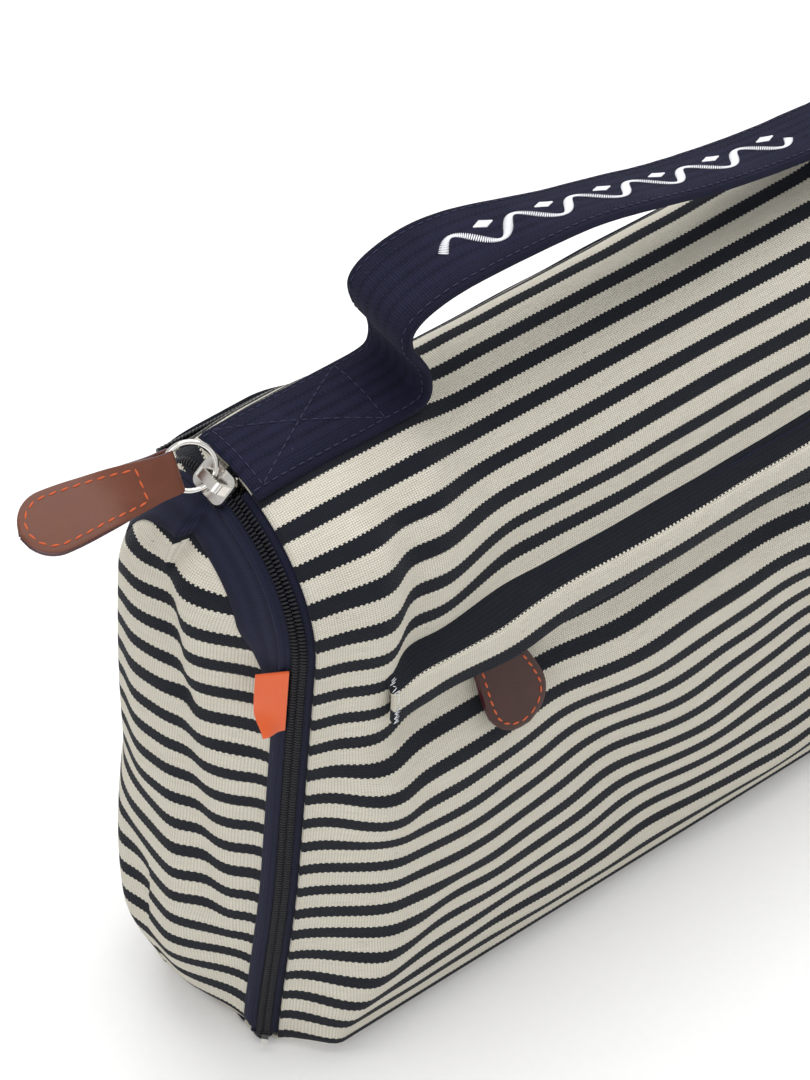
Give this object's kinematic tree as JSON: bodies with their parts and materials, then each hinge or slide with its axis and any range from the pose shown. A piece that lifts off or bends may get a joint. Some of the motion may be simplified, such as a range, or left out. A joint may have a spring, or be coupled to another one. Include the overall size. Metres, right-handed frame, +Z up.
{
  "type": "weekender bag",
  "caption": "Small striped canvas weekender bag with a rounded top, a zip-round front panel, a webbing top handle, leather zip pulls and a front pocket.",
  "frame": {"origin": "centre of the base, on the surface that the bag stands on", "axes": "+X along the bag's length to its right, +Y towards its back, +Z up; the front panel faces -Y"},
  "size_m": [0.3473, 0.0956, 0.2915],
  "materials": {
    "striped_canvas": "yarn-dyed navy and cream stripe, plain weave",
    "navy_twill": "navy cotton twill",
    "navy_tape": "woven zip tape",
    "black_coil": "semi-matt nylon coil",
    "nickel": "bright nickel plate",
    "brown_leather": "waxed, dark painted edge",
    "dark_leather": "waxed, dark painted edge",
    "orange_thread": "waxed saddle-stitch thread",
    "white_thread": "satin embroidery thread",
    "orange_felt": "folded woven label, no print",
    "lining_cloth": "plain cotton lining",
    "foam": "closed-cell padding",
    "board": "stiff base board"
  },
  "bodies": {
    "bag_body": {"bottom_panel": "striped_canvas", "base_board": "board", "base_lining": "lining_cloth", "back_panel": "striped_canvas", "back_foam": "foam", "back_lining": "lining_cloth", "left_gusset": "striped_canvas", "right_gusset": "striped_canvas", "left_gusset_lining": "lining_cloth", "right_gusset_lining": "lining_cloth", "left_gusset_binding": "navy_tape", "right_gusset_binding": "navy_tape", "body_zip_tape": "navy_tape", "body_zip_coil": "black_coil", "zip_end_stops": "nickel", "seam_tab": "orange_felt"},
    "front_flap": {"front_panel": "striped_canvas", "front_foam": "foam", "front_lining": "lining_cloth", "flap_zip_tape": "navy_tape", "flap_zip_coil": "black_coil", "pocket_flap": "striped_canvas", "pocket_zip_tape": "navy_tape", "pocket_zip_coil": "black_coil", "pocket_zip_stops": "nickel", "pocket_bag": "lining_cloth", "pocket_bartacks": "white_thread", "handle_end_left": "navy_twill", "handle_end_right": "navy_twill"},
    "handle": {"handle_strap": "navy_twill", "handle_core": "foam", "handle_embroidery": "white_thread"},
    "main_slider": {"main_slider_body": "nickel", "main_slider_bridge": "nickel"},
    "main_ring": {"main_ring": "nickel"},
    "main_tab": {"main_tab_leather": "brown_leather", "main_tab_stitching": "orange_thread"},
    "pocket_slider": {"pocket_slider_body": "nickel"},
    "pocket_pull": {"pocket_ring": "nickel", "pocket_tab_leather": "dark_leather", "pocket_tab_stitching": "orange_thread"}
  },
  "joints": [
    {"name": "front_flap_open", "type": "hinge", "parent": "bag_body", "child": "front_flap", "pos_m": [0, -0.0444, 0.0024], "axis": [1, 0, 0], "range_deg": [0, 85]},
    {"name": "handle_lean", "type": "hinge", "parent": "front_flap", "child": "handle", "pos_m": [0, 0, 0.251], "axis": [1, 0, 0], "range_deg": [-35, 35], "stiffness_Nm_per_rad": 0.04},
    {"name": "main_slider_run", "type": "hinge", "parent": "bag_body", "child": "main_slider", "pos_m": [-0.145, 0, 0.202], "axis": [1, 0, 0], "range_deg": [0, 80]},
    {"name": "main_ring_swing", "type": "hinge", "parent": "main_slider", "child": "main_ring", "pos_m": [-0.1479, 0, 0.2449], "axis": [0.7071, 0, 0.7071], "range_deg": [-35, 85]},
    {"name": "main_tab_swing", "type": "hinge", "parent": "main_ring", "child": "main_tab", "pos_m": [-0.1565, 0.00668, 0.24763], "axis": [0.0083, -0.5113, -0.8593], "range_deg": [-60, 45]},
    {"name": "pocket_slider_run", "type": "slide", "parent": "front_flap", "child": "pocket_slider", "axis": [1, 0, 0], "range_m": [-0.026, 0.182]},
    {"name": "pocket_pull_swing", "type": "hinge", "parent": "pocket_slider", "child": "pocket_pull", "pos_m": [-0.08, -0.04652, 0.1778], "axis": [0, 1, 0], "range_deg": [-45, 45]}
  ]
}
